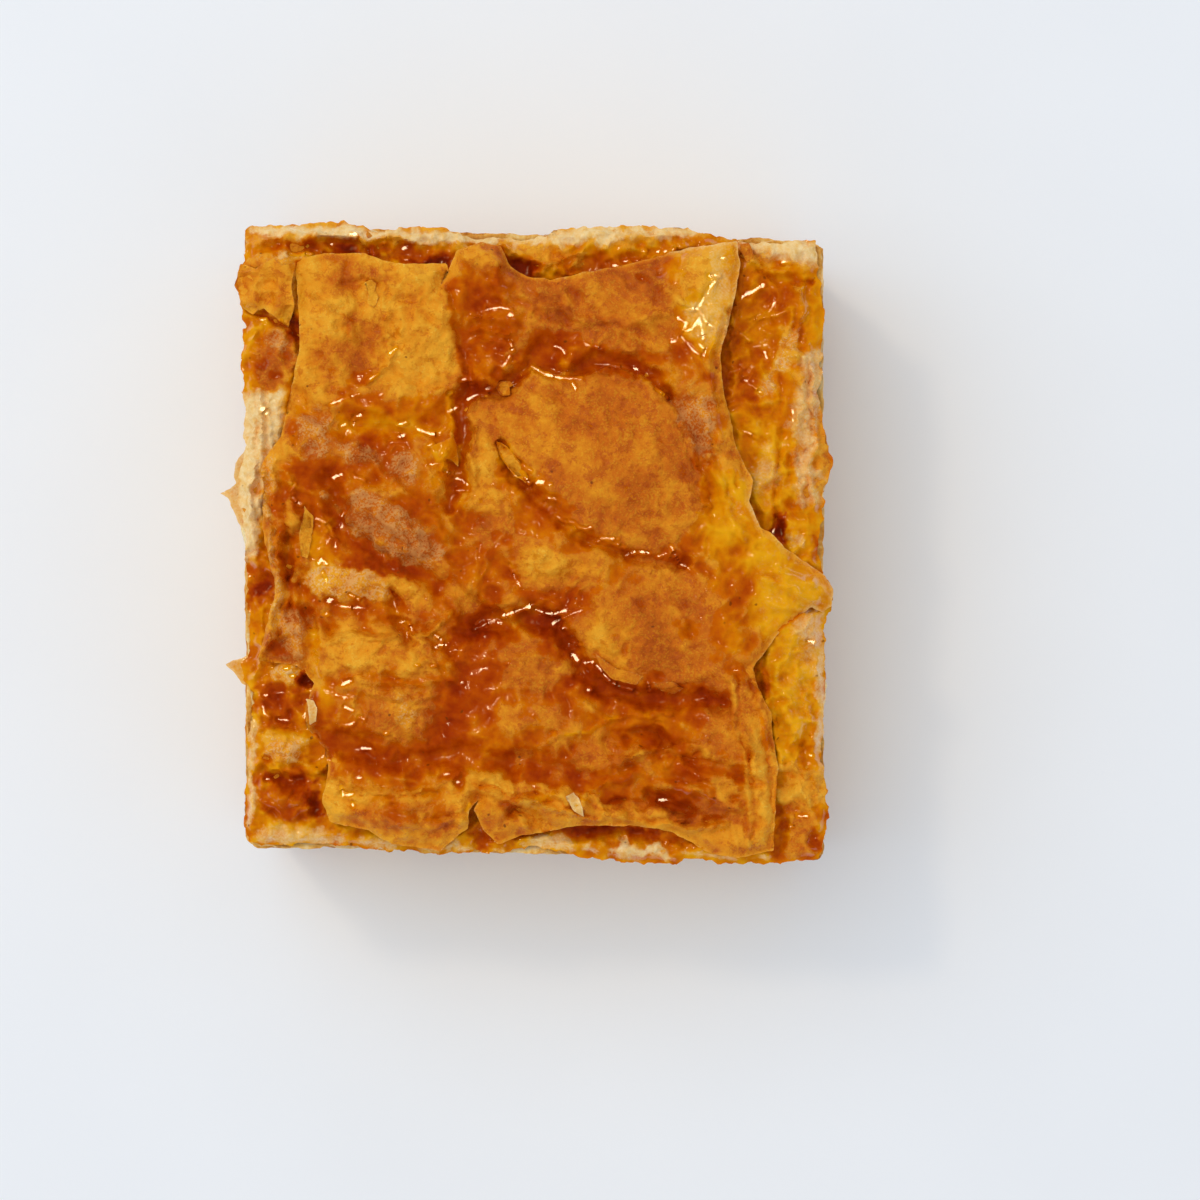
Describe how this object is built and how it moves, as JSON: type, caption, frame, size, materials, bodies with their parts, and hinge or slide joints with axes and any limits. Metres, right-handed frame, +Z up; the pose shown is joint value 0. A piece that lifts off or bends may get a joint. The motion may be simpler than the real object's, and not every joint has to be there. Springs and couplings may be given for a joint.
{
  "type": "galaktoboureko slice",
  "caption": "Square-cut slice of custard pie: set semolina custard between a pressed pastry base and a crinkled, syrup-soaked top of thin pastry leaves.",
  "frame": {"origin": "centre of the flat base the slice rests on", "axes": "+Z up, +Y along the longer cut side, +X along the shorter cut side"},
  "size_m": [0.0825, 0.0859, 0.0433],
  "materials": {
    "bottom_pastry": "thin pastry leaves pressed together and soaked with syrup, moist and slightly glossy",
    "custard": "set semolina custard with a moist cut face",
    "top_pastry": "baked golden pastry leaves, matte where dry and glossy where syrup lies in the folds"
  },
  "bodies": {
    "root": {"bottom_pastry": "bottom_pastry", "custard": "custard", "top_pastry": "top_pastry"}
  },
  "joints": []
}
